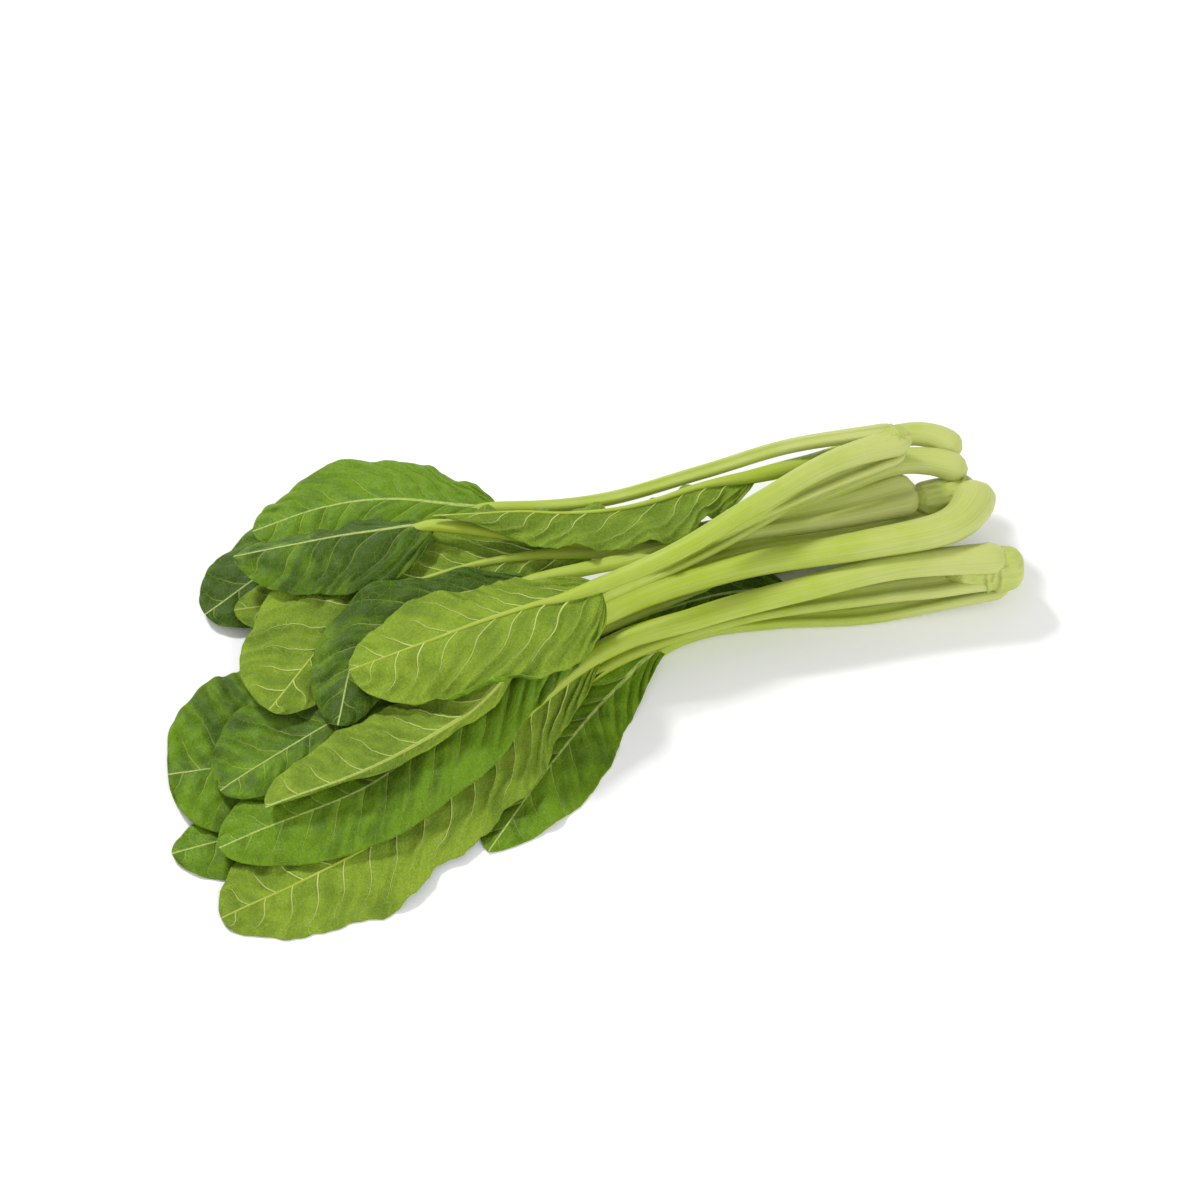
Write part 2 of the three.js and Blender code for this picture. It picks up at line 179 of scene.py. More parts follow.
AIR_GAP = 1.2  # between a leaf and what it lies on
BLADE_ROWS = 121
BLADE_COLUMNS = 73
STALK_SIDES = 28
VEIN_SIDES = 6
STEM_SIDES = 48
CUT_RINGS = 3  # the rings of a stem that are on its cut face
VEIN_REACH = 0.85  # how far across the blade a raised side vein may run
NARROW = 8  # a half narrower than this carries no raised side veins

# ---- shape of a leaf ----


def smooth(x, low, high):
    """Smooth step from 0 at low to 1 at high."""
    t = np.clip((x - low) / (high - low), 0, 1)
    return t * t * (3 - 2 * t)


def unit(vectors):
    return vectors / np.maximum(np.linalg.norm(vectors, axis=-1, keepdims=True), 1e-9)


class CentreLine:
    """A smooth line through a leaf's points, read by share of its length."""

    DIVISIONS = 400

    def __init__(self, leaf):
        points = np.array(leaf["stalk"] + leaf["blade"], float)
        self.points = np.vstack([2 * points[0] - points[1], points, 2 * points[-1] - points[-2]])
        self.spans = len(points) - 1
        marks = self.at_parameter(np.linspace(0, 1, self.DIVISIONS + 1))
        self.lengths = np.concatenate([[0], np.cumsum(np.linalg.norm(np.diff(marks, axis=0), axis=1))])
        self.length = self.lengths[-1]
        place = round(self.DIVISIONS * (len(leaf["stalk"]) - 1) / self.spans)
        self.junction = self.lengths[place] / self.length

    def at_parameter(self, parameter):
        scaled = np.clip(parameter, 0, 1) * self.spans
        span = np.minimum(scaled.astype(int), self.spans - 1)
        t = (scaled - span)[:, None]
        p0, p1, p2, p3 = (self.points[span + k] for k in range(4))
        a, b = (p2 - p0) / 2, (p3 - p1) / 2
        return p1 + a * t + (3 * (p2 - p1) - 2 * a - b) * t**2 + (2 * (p1 - p2) + a + b) * t**3

    def stations(self, share):
        """Places, sideways (towards -Y for a leaf pointing to -X) and upward directions."""
        parameter = np.interp(share * self.length, self.lengths, np.linspace(0, 1, self.DIVISIONS + 1))
        ahead = self.at_parameter(np.minimum(parameter + 1e-4, 1))
        behind = self.at_parameter(np.maximum(parameter - 1e-4, 0))
        along = unit(ahead - behind)
        side = unit(np.cross([0, 0, 1], along))
        return self.at_parameter(parameter), side, np.cross(along, side)


def half_width(share, widest, place, bluntness):
    power = math.log(0.5) / math.log(place)
    return widest * np.sin(np.pi * np.clip(share, 1e-6, 1 - 1e-6) ** power) ** bluntness


def cross_section(reach, angle):
    """How far out and up a half of the blade has gone at each share of its width, from its angle there."""
    between = (angle[:, 1:] + angle[:, :-1]) / 2
    steps = np.diff(reach)
    start = np.zeros((len(angle), 1))
    out = np.hstack([start, np.cumsum(np.cos(between) * steps, axis=1)])
    rise = np.hstack([start, np.cumsum(np.sin(between) * steps, axis=1)])
    return out, rise


def waves(rng, share, counts, heights):
    """A sum of sine waves along the leaf, with phases from rng."""
    return sum(h * np.sin(2 * np.pi * (n * share + rng.random())) for n, h in zip(counts, heights))


def normals_of(sheet):
    """Directions square to a sheet, on the side that faces up."""
    return unit(np.cross(np.gradient(sheet, axis=0), np.gradient(sheet, axis=1)))


class Blade:
    """A blade's middle surface: rows run from base to tip, and columns from the far to the near margin."""

    def __init__(self, leaf, rng, sizes):
        line = CentreLine(leaf)
        self.length = (1 - line.junction) * line.length
        self.share = (1 - np.cos(np.pi * np.linspace(0, 1, BLADE_ROWS))) / 2
        across = np.linspace(-1, 1, BLADE_COLUMNS)
        self.across = np.sign(across) * np.abs(across) ** 1.2
        self.outer = -1 if leaf["up"] == "inner" else 1
        self.size = max(leaf["near"][0], leaf["far"][0])
        at, side, up = line.stations(line.junction + (1 - line.junction) * self.share)
        self.sheet = np.zeros((BLADE_ROWS, BLADE_COLUMNS, 3))
        self.width = np.zeros((BLADE_ROWS, BLADE_COLUMNS))
        self.phases = {}
        for sign, half in ((-1, leaf["far"]), (1, leaf["near"])):
            self.add_half(leaf, rng, sizes, sign, half, (at, side, up))

    def add_half(self, leaf, rng, sizes, sign, half, stations):
        at, side, up = stations
        share = self.share
        columns = np.flatnonzero(self.across * sign >= 0)[::sign]
        reach = np.abs(self.across[columns])
        wide = half_width(share, *half[:3])
        ragged = waves(rng, share, (2.3, 5.1, 11, 27), (0.5, 0.35, 0.18, 0.09)) * leaf["ragged"]
        ragged = ragged * smooth(share, 0.02, 0.15)
        base = leaf["width"][1] * 0.4 * (1 - smooth(share, 0, 0.2))
        wide = np.maximum(np.maximum(wide * (1 + ragged), base), 0.4)[:, None]
        angle = np.radians(half[3] + half[4] * reach)[None, :] + np.zeros((BLADE_ROWS, 1))
        for side_sign, place, extent, turn in leaf["rolls"]:
            if side_sign == sign:
                here = np.exp(-(((share - place) / extent) ** 4))[:, None]
                angle = angle + math.radians(turn) * here * smooth(reach, 0.86, 0.97)
        out, rise = cross_section(reach, angle)
        counts = leaf["crinkle"] * np.array([1.7, 3.3, 6.1])
        ruffle = waves(rng, share, counts, (0.5, 0.6, 0.3)) * np.sin(np.pi * share) ** 0.5
        ruffle = sizes.ruffle * leaf["ruffle"] * ruffle[:, None] * reach**2.2

        # Side veins leave the midrib at a slant and bend towards the tip.
        lean = 1.55 * half[0] * (0.75 * reach + 0.25 * reach**2 + 0.04 * np.sin(9 * reach))
        slant = lean * np.sqrt(1 - share)[:, None]
        wander = 0.16 * np.sin(6 * reach + rng.random() * 6)
        wander = wander + 0.1 * np.sin(11 * share + rng.random() * 6)[:, None]
        uneven = 0.28 * np.sin(10 * share + rng.random() * 6)[:, None] * np.sin(np.pi * share)[:, None]
        phase = (share[:, None] * self.length - slant) / sizes.vein_spacing + 0.25 * sign
        phase = phase + wander * reach + uneven
        pillow = np.abs(np.sin(np.pi * phase)) ** 0.7 - 0.5
        pillow += 0.35 * np.sin(2 * np.pi * (reach * wide / 9 + 0.7 * phase))
        pillow *= smooth(reach * wide, 1, 7) * (1 - 0.4 * smooth(reach, 0.8, 1))
        pillow *= smooth(share, 0, 0.12)[:, None]
        lift = -self.outer * sizes.quilt * (0.5 + self.size / 70) * pillow

        out = wide * out - np.sin(angle) * (ruffle + lift)
        rise = wide * rise + np.cos(angle) * (ruffle + lift)
        sideways = sign * out[..., None] * side[:, None]
        self.sheet[:, columns] = at[:, None] + sideways + rise[..., None] * up[:, None]
        self.width[:, columns] = wide
        self.phases[sign] = (columns, phase)

    def at(self, field, row, column):
        """Reads an array over the sheet between its rows and columns."""
        r = np.clip(np.floor(row).astype(int), 0, BLADE_ROWS - 2)
        c = np.clip(np.floor(column).astype(int), 0, BLADE_COLUMNS - 2)
        s, t = (row - r)[:, None], (column - c)[:, None]
        low = field[r, c] * (1 - t) + field[r, c + 1] * t
        high = field[r + 1, c] * (1 - t) + field[r + 1, c + 1] * t
        return low * (1 - s) + high * s

    def veins(self, thickness, vein_radius):
        """Lines of (place, radius) along the side veins, on the blade's outer face."""
        normal = normals_of(self.sheet) * self.outer
        lines = []
        for columns, phase in self.phases.values():
            if self.width[:, columns[-1]].max() < NARROW:
                continue
            order = np.flatnonzero(np.abs(self.across[columns]) < VEIN_REACH)
            rising = np.maximum.accumulate(phase + 1e-4 * np.arange(BLADE_ROWS)[:, None], axis=0)
            for k in range(int(np.ceil(rising[:, order[0]].min())), int(rising.max()) + 1):
                crossed = [rising[0, i] < k < rising[-1, i] for i in order]
                used = order[: crossed.index(False) if False in crossed else len(order)]
                used = used[: int(len(order) * (0.7 + 0.3 * math.sin(5.1 * k) ** 2))]
                rows = np.array([np.interp(k, rising[:, i], np.arange(BLADE_ROWS)) for i in used])
                jumps = np.flatnonzero(np.abs(np.diff(rows)) > 4)
                used = used[: jumps[0]] if len(jumps) else used
                if len(used) < 8:
                    continue
                rows = rows[: len(used)]
                share = np.interp(rows, np.arange(BLADE_ROWS), self.share)
                fade = np.linspace(0, 1, len(used))
                strength = 0.6 + 0.6 * math.sin(3.7 * k + 1) ** 2
                radius = vein_radius * strength * (0.35 + self.size / 60)
                radius = radius * (1 - fade) ** 0.8 * (1 - 0.5 * share) + 0.06
                place = self.at(self.sheet, rows, columns[used].astype(float))
                away = unit(self.at(normal, rows, columns[used].astype(float)))
                place = place + away * (thickness / 2 + 0.2 * radius - 0.9 * radius * fade**3)[:, None]
                lines.append((place, radius))
        return lines


# ---- laying the leaves down ----


class Pile:
    """How high the pile stands over each cell of the floor."""

    CELL = 2.5
    CORNER = (-205, -130)
    SHAPE = (106, 168)
    SPREAD = 3
    ROUNDS = 9

    def __init__(self):
        self.top = np.full(self.SHAPE, -AIR_GAP, float)

    def cells(self, points):
        column = np.clip(((points[..., 0] - self.CORNER[0]) / self.CELL).astype(int), 0, self.SHAPE[1] - 1)
        row = np.clip(((points[..., 1] - self.CORNER[1]) / self.CELL).astype(int), 0, self.SHAPE[0] - 1)
        return row, column

    def add(self, points):
        np.maximum.at(self.top, self.cells(points), points[..., 2])

    def spread(self, need):
        """Widens what is needed in each cell, then smooths it."""
        for combine in (np.max, np.mean):
            for axis in (0, 1):
                shifts = [np.roll(need, k, axis=axis) for k in range(-self.SPREAD, self.SPREAD + 1)]
                need = combine(shifts, axis=0)
        return need

    def read(self, field, points):
        x = (points[..., 0] - self.CORNER[0]) / self.CELL - 0.5
        y = (points[..., 1] - self.CORNER[1]) / self.CELL - 0.5
        column, row = np.floor(x).astype(int), np.floor(y).astype(int)
        s, t = x - column, y - row
        low = field[row, column] * (1 - s) + field[row, column + 1] * s
        high = field[row + 1, column] * (1 - s) + field[row + 1, column + 1] * s
        return low * (1 - t) + high * t

    def lay(self, blade, thickness):
        """Lifts a limp blade where it would sink into the pile; its base stays on its stalk."""
        sheet = blade.sheet
        sheet[..., 2] = np.maximum(sheet[..., 2], thickness)
        weights = np.broadcast_to(smooth(blade.share, -0.02, 0.25)[:, None], sheet.shape[:2])
        for _ in range(self.ROUNDS):
            need = np.zeros(self.SHAPE)
            row, column = self.cells(sheet)
            short = (self.top[row, column] + AIR_GAP - sheet[..., 2] + thickness / 2) * weights
            np.maximum.at(need, (row, column), short)
            sheet[..., 2] += weights * self.read(self.spread(need), sheet)
        self.add(sheet)


def stalk_rings(leaf, blade, rng):
    """Rings of the stalk and its midrib, how far along each ring is, and the number of rings in the stalk."""
    line = CentreLine(leaf)
    count = int(line.junction * line.length / 2.2)
    share = np.linspace(0, 1, count)
    at, side, up = line.stations(share * line.junction)
    half = (leaf["width"][0] + (leaf["width"][1] - leaf["width"][0]) * share**0.4) / 2
    half = half * np.clip(share * line.junction * line.length / 6 + 0.02, 0, 1) ** 0.4
    normal = normals_of(blade.sheet)
    middle = BLADE_COLUMNS // 2
    rib_rows = np.arange(8, BLADE_ROWS - 1, 2)
    rib_at = blade.sheet[rib_rows, middle]
    rib_up = unit(normal[rib_rows, middle - 1] + normal[rib_rows, middle + 1])
    rib_along = unit(np.gradient(rib_at, axis=0))
    rib_side = unit(np.cross(rib_up, rib_along))
    rib_share = blade.share[rib_rows]
    thinning = (1 - rib_share) ** 1.8 * (1 - 0.4 * smooth(rib_share, 0, 0.25))
    rib_half = 0.4 + (leaf["width"][1] / 2 - 0.4) * thinning
    rib_half = rib_half * (1 - (1 - leaf["rib"]) * smooth(rib_share, 0, 0.2))
    sunk = blade.outer * (0.95 if blade.outer < 0 else 0.3) * rib_half * smooth(rib_share, 0, 0.14)
    rib_at = rib_at + rib_up * sunk[:, None]

    centre = np.vstack([at, rib_at])
    side, up = np.vstack([side, rib_side]), np.vstack([up, rib_up])
    half = np.concatenate([half, rib_half])
    far = np.concatenate([share, 1 + rib_share])

    # The stalk and the midrib are smoothed into one another where they meet.
    for _ in range(6):
        for run in (centre, side, up, half):
            run[count - 6 : count + 6] = (run[count - 7 : count + 5] + run[count - 5 : count + 7]) / 2
    angle = np.linspace(0, 2 * np.pi, STALK_SIDES, endpoint=False)[None, :]
    y, z = np.cos(angle), np.sin(angle)
    channel = 0.35 * np.exp(-((y / 0.4) ** 2)) * (1 - smooth(far, 0.5, 1.1))[:, None]
    inner = 0.55 + 0.2 * smooth(far, 0.2, 1)[:, None]
    height = np.where(z > 0, 0.8 * z, (inner - channel) * z)
    furrows = 1 + 0.012 * np.sin(9 * angle + rng.random() * 6) * (z > -0.3)
    furrows = furrows + 0.02 * np.sin(3 * angle + 9 * far[:, None] + rng.random() * 6)
    sway = 0.4 * np.sin(far * 7 + rng.random() * 6)
    sway = sway * smooth(far, 0, 0.2) * (1 - smooth(far, 0.7, 0.98))
    y = half[:, None] * y * furrows + sway[:, None]
    z = half[:, None] * height * furrows * blade.outer
    rings = centre[:, None] + y[..., None] * side[:, None] + z[..., None] * up[:, None]
    rings[..., 2] = np.maximum(rings[..., 2], 0.05)
    return rings, far, count


def stem_rings(head, rng):
    """Rings of a short stem, from its cut end to where its leaves have taken over."""
    cut, crown = np.array(head["cut"], float), np.array(head["crown"], float)
    length = np.linalg.norm(crown - cut)
    along = (crown - cut) / length
    side = unit(np.cross([0, 0, 1], along))
    up = np.cross(along, side)
    place = np.concatenate([[0.4, 0, 0, 0.4, 1, 1.8, 2.8, 4], np.linspace(5, length + 6, 40)])
    profile = (
        [0.4, 1, 1.8, 2.8, 4, 6, 8, length, length + 6],
        [0.62, 0.72, 0.8, 0.87, 0.93, 0.98, 1, 0.8, 0.3],
    )
    scale = np.interp(place, *profile)
    scale[:CUT_RINGS] = (0.02, 0.35, 0.55)
    angle = np.linspace(0, 2 * np.pi, STEM_SIDES, endpoint=False)[None, :]
    lobes = 1 + 0.05 * np.sin(2 * angle + rng.random() * 6) + 0.035 * np.sin(3 * angle + rng.random() * 6)
    scars = np.zeros((len(place), STEM_SIDES))
    for _ in range(5):
        where, turn = rng.uniform(3, length), rng.uniform(0, 2 * np.pi)
        facing = smooth(np.cos(angle - turn), -0.1, 0.5)
        bow = where + 2.5 * (1 - np.cos(angle - turn))
        ridge = np.exp(-(((place[:, None] - bow) / 0.7) ** 2))
        hollow = smooth(place[:, None], bow, bow + 0.8) * (1 - smooth(place[:, None], bow + 1, bow + 6))
        scars += facing * (ridge - 0.6 * hollow)
    ribs = 0.35 * np.sin(14 * angle + 2 * np.sin(place[:, None] / 4))
    radius = head["radius"] * scale[:, None] * lobes + (0.7 * scars + ribs) * smooth(place, 0.3, 3)[:, None]
    centre = cut + place[:, None] * along
    across = (radius * np.cos(angle))[..., None] * side
    return centre[:, None] - across + (radius * np.sin(angle))[..., None] * up


Sizes = collections.namedtuple("Sizes", "thickness vein_spacing vein_radius ruffle quilt")


def sizes_in_mm(settings):
    """The numbers a layout depends on, so that one layout can serve several operators."""
    return Sizes(
        settings.blade_thickness / MM,
        settings.vein_spacing / MM,
        settings.vein_thickness / MM / 2,
        settings.ruffle,
        settings.quilt / MM,
    )


@functools.lru_cache(maxsize=1)
def layout(sizes):
    """Every leaf's stalk rings and blade, laid down in order."""
    pile = Pile()
    leaves = []
    for number, leaf in enumerate(LEAVES):
        rng = np.random.default_rng(100 + number)
        blade = Blade(leaf, rng, sizes)
        bare = stalk_rings(leaf, blade, np.random.default_rng(200 + number))
        pile.add(bare[0][: bare[2]])
        pile.lay(blade, sizes.thickness)
        laid = stalk_rings(leaf, blade, np.random.default_rng(200 + number))
        pile.add(laid[0])
        leaves.append((leaf, blade, laid))
    return leaves


# ---- meshes ----


def row_frame(points):
    """From pile coordinates in mm to the row frame in metres."""
    return (points - np.array([*PILE_CENTRE, 0.0])) * MM


def new_object(name, points, faces, materials, material_index=None):
    mesh = bpy.data.meshes.new(name)
    mesh.from_pydata(row_frame(points).tolist(), [], faces.tolist() if len(faces) else [])
    for material in materials:
        mesh.materials.append(material)
    if material_index is not None:
        mesh.polygons.foreach_set("material_index", material_index.astype(np.int32))
    mesh.shade_smooth()
    obj = bpy.data.objects.new(name, mesh)
    bpy.context.scene.collection.objects.link(obj)
    return obj


def add_values(mesh, name, values):
    attribute = mesh.attributes.new(name, "FLOAT", "POINT")
    attribute.data.foreach_set("value", np.asarray(values, np.float32).ravel())


def add_uv(mesh, name, corner_values):
    layer = mesh.uv_layers.new(name=name)
    layer.data.foreach_set("uv", np.asarray(corner_values, np.float32).ravel())


def corner_vertices(mesh):
    vertices = np.empty(len(mesh.loops), np.int32)
    mesh.loops.foreach_get("vertex_index", vertices)
    return vertices


def tube_faces(rows, sides):
    """Quads between neighbouring rings."""
    row, side = np.meshgrid(np.arange(rows - 1), np.arange(sides), indexing="ij")
    a = (row * sides + side).ravel()
    b = (row * sides + (side + 1) % sides).ravel()
    return np.stack([a, a + sides, b + sides, b], axis=1)


def tube_object(name, rings, materials, outward, material_of_row=None):
    """A closed tube through rings, with a point at the middle of each end."""
    rows, sides = rings.shape[:2]
    points = np.vstack([rings.reshape(-1, 3), rings[0].mean(axis=0), rings[-1].mean(axis=0)])
    quads = tube_faces(rows, sides)
    ring = np.arange(sides)
    first = np.stack([np.full(sides, rows * sides), ring, (ring + 1) % sides], axis=1)
    last = (rows - 1) * sides
    end = np.stack([np.full(sides, rows * sides + 1), last + (ring + 1) % sides, last + ring], axis=1)
    faces = [list(f) for f in quads] + [list(f) for f in first] + [list(f) for f in end]
    if not outward:
        faces = [f[::-1] for f in faces]
    index = np.zeros(len(faces))
    if material_of_row is not None:
        index[: len(quads)] = np.repeat(material_of_row[:-1], sides)
        index[len(quads) : len(quads) + sides] = material_of_row[0]
    return new_object(name, points, np.array(faces, dtype=object), materials, index)


def blade_object(name, leaf, blade, sizes, materials):
    """The blade as a thin closed sheet. Its veins are added by vein_object."""
    normal = normals_of(blade.sheet)
    thick = sizes.thickness / 2 * (1 - 0.5 * np.abs(blade.across) ** 3)[None, :, None]
    upper, lower = blade.sheet + normal * thick, blade.sheet - normal * thick
    lower[..., 2] = np.maximum(lower[..., 2], 0)
    rows, columns = BLADE_ROWS, BLADE_COLUMNS
    total = rows * columns
    grid = np.arange(total).reshape(rows, columns)
    quads = np.stack([grid[:-1, :-1], grid[1:, :-1], grid[1:, 1:], grid[:-1, 1:]], axis=-1).reshape(-1, 4)
    rim = np.concatenate([grid[0, :], grid[1:, -1], grid[-1, -2::-1], grid[-2:0:-1, 0]])
    after = np.roll(rim, -1)
    sides = np.stack([rim, after, after + total, rim + total], axis=1)
    faces = np.vstack([quads, quads[:, ::-1] + total, sides])
    facing_up = 0 if leaf["up"] == "inner" else 1
    index = np.repeat([facing_up, 1 - facing_up, 1], [len(quads), len(quads), len(sides)])
    obj = new_object(name, np.vstack([upper.reshape(-1, 3), lower.reshape(-1, 3)]), faces, materials, index)
    mesh = obj.data

    # Corners take the phase of the veins from the half that their face is in.
    vertices = corner_vertices(mesh) % total
    furthest = (vertices % columns).reshape(-1, 4).max(axis=1)
    near = np.repeat(furthest > columns // 2, 4)
    phase = {}
    for sign, (used, values) in blade.phases.items():
        phase[sign] = np.zeros((rows, columns))
        phase[sign][:, used] = values
    reach = np.tile(np.abs(blade.across), rows)
    phi = np.where(near, phase[1].ravel()[vertices], phase[-1].ravel()[vertices])
    add_uv(mesh, "veins", np.stack([phi, reach[vertices]], axis=1))
    along = np.broadcast_to((blade.share * blade.length)[:, None], (rows, columns))
    over = blade.width * blade.across[None, :]
    flat = np.stack([along, over], axis=-1).reshape(-1, 2) / 100
    add_uv(mesh, "blade", flat[vertices])
    base = leaf["width"][1] * (0.3 if leaf["up"] == "outer" else 0.19)
    rib = 0.35 + (base - 0.35) * (1 - blade.share) ** 2
    rib_distance = (np.abs(over) / rib[:, None]).ravel()
    add_values(mesh, "rib", np.tile(rib_distance, 2))
    add_values(mesh, "margin", np.tile(reach, 2))
    add_values(mesh, "tone_and_painted_light", np.full(2 * total, leaf["tone_and_painted_light"]))
    return obj


def vein_tree():
    """Geometry nodes that turn lines with a radius into closed, tapered tubes."""
    tree = bpy.data.node_groups.new("Leaf Vein Tubes", "GeometryNodeTree")
    sockets = tree.interface
    sockets.new_socket("Geometry", in_out="INPUT", socket_type="NodeSocketGeometry")
    sides = sockets.new_socket("Sides", in_out="INPUT", socket_type="NodeSocketInt")
    sides.default_value, sides.min_value = VEIN_SIDES, 3
    sockets.new_socket("Thickness", in_out="INPUT", socket_type="NodeSocketFloat").default_value = 1
    sockets.new_socket("Material", in_out="INPUT", socket_type="NodeSocketMaterial")
    sockets.new_socket("Geometry", in_out="OUTPUT", socket_type="NodeSocketGeometry")
    given = add_node(tree, "NodeGroupInput").outputs
    radius = add_node(tree, "GeometryNodeInputNamedAttribute", {"Name": "radius"}, data_type="FLOAT")
    curve = add_node(tree, "GeometryNodeMeshToCurve", {"Mesh": given["Geometry"]})
    circle = {"Resolution": given["Sides"], "Radius": given["Thickness"]}
    profile = add_node(tree, "GeometryNodeCurvePrimitiveCircle", circle)
    inputs = {
        "Curve": curve.outputs["Curve"],
        "Profile Curve": profile.outputs["Curve"],
        "Scale": radius.outputs["Attribute"],
        "Fill Caps": True,
    }
    tube = add_node(tree, "GeometryNodeCurveToMesh", inputs)
    real = add_node(tree, "GeometryNodeRealizeInstances", {"Geometry": tube.outputs["Mesh"]})
    inputs = {"Geometry": real.outputs["Geometry"], "Material": given["Material"]}
    painted = add_node(tree, "GeometryNodeSetMaterial", inputs)
    add_node(tree, "NodeGroupOutput", {"Geometry": painted.outputs["Geometry"]})
    return tree


def vein_object(name, leaf, blade, sizes, material):
    """All of a blade's side veins as closed tubes."""
    lines = blade.veins(sizes.thickness, sizes.vein_radius)
    counts = [len(place) for place, _ in lines]
    starts = np.concatenate([[0], np.cumsum(counts)])
    runs = [np.arange(a, b - 1) for a, b in zip(starts[:-1], starts[1:])]
    edges = np.concatenate([np.stack([run, run + 1], axis=1) for run in runs])
    mesh = bpy.data.meshes.new(name)
    mesh.from_pydata(row_frame(np.vstack([place for place, _ in lines])).tolist(), edges.tolist(), [])
    add_values(mesh, "radius", np.concatenate([radius for _, radius in lines]) * MM)
    add_values(mesh, "tone_and_painted_light", np.full(sum(counts), leaf["tone_and_painted_light"]))
    obj = bpy.data.objects.new(name, mesh)
    bpy.context.scene.collection.objects.link(obj)
    tree = bpy.data.node_groups.get("Leaf Vein Tubes") or vein_tree()
    modifier = obj.modifiers.new("Vein Tubes", "NODES")
    modifier.node_group = tree
    inputs = {item.name: item.identifier for item in tree.interface.items_tree if item.in_out == "INPUT"}
    modifier[inputs["Sides"]] = VEIN_SIDES
    modifier[inputs["Thickness"]] = 1.0
    modifier[inputs["Material"]] = material
    evaluated = obj.evaluated_get(bpy.context.evaluated_depsgraph_get())
    obj.data = bpy.data.meshes.new_from_object(evaluated)
    obj.modifiers.clear()
    obj.data.shade_smooth()
    return obj


def join(main, other):
    both = [main, other]
    with bpy.context.temp_override(
        active_object=main, object=main, selected_objects=both, selected_editable_objects=both
    ):
        bpy.ops.object.join()


def hand_over(obj, node):
    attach(obj, "root")
    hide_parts(node)


# ---- materials ----


def srgb(*levels):
    """A colour given as 0 to 255, in Blender's linear units."""
    shares = [level / 255 for level in levels]
    return tuple(v / 12.92 if v <= 0.04045 else ((v + 0.055) / 1.055) ** 2.4 for v in shares)


def add_node(tree, kind, inputs=None, **settings):
    made = tree.nodes.new(kind)
    for name, value in settings.items():
        setattr(made, name, value)
    for name, value in (inputs or {}).items():
        if isinstance(value, bpy.types.NodeSocket):
            tree.links.new(value, made.inputs[name])
        else:
            made.inputs[name].default_value = value
    return made


def maths(tree, operation, *values, clamp=False):
    inputs = dict(enumerate(values))
    return add_node(tree, "ShaderNodeMath", inputs, operation=operation, use_clamp=clamp).outputs[0]


def step(tree, value, low, high, to_low=0.0, to_high=1.0):
    inputs = {"Value": value, "From Min": low, "From Max": high, "To Min": to_low, "To Max": to_high}
    return add_node(tree, "ShaderNodeMapRange", inputs, interpolation_type="SMOOTHSTEP").outputs["Result"]


def blend(tree, factor, first, second, mode="MIX"):
    mix = add_node(tree, "ShaderNodeMix", data_type="RGBA", blend_type=mode)
    for socket, value in ((mix.inputs[0], factor), (mix.inputs[6], first), (mix.inputs[7], second)):
        if isinstance(value, bpy.types.NodeSocket):
            tree.links.new(value, socket)
        elif isinstance(value, (int, float)):
            socket.default_value = value
        else:
            socket.default_value = (*value[:3], 1)
    return mix.outputs[2]


def noise(tree, vector, scale, detail):
    inputs = {"Vector": vector, "Scale": scale, "Detail": detail}
    return add_node(tree, "ShaderNodeTexNoise", inputs).outputs["Fac"]


def value_of(tree, name):
    return add_node(tree, "ShaderNodeAttribute", attribute_name=name).outputs["Fac"]


def shader_group(name, inputs, outputs):
    tree = bpy.data.node_groups.new(name, "ShaderNodeTree")
    for label, default in inputs.items():
        socket = tree.interface.new_socket(label, in_out="INPUT", socket_type="NodeSocketFloat")
        socket.default_value = default
    for label in outputs:
        tree.interface.new_socket(label, in_out="OUTPUT", socket_type="NodeSocketFloat")
    return tree, add_node(tree, "NodeGroupInput").outputs


def group_node(tree, name, **inputs):
    made = add_node(tree, "ShaderNodeGroup", node_tree=bpy.data.node_groups[name])
    for label, value in inputs.items():
        made.inputs[label.replace("_", " ")].default_value = value
    return made.outputs


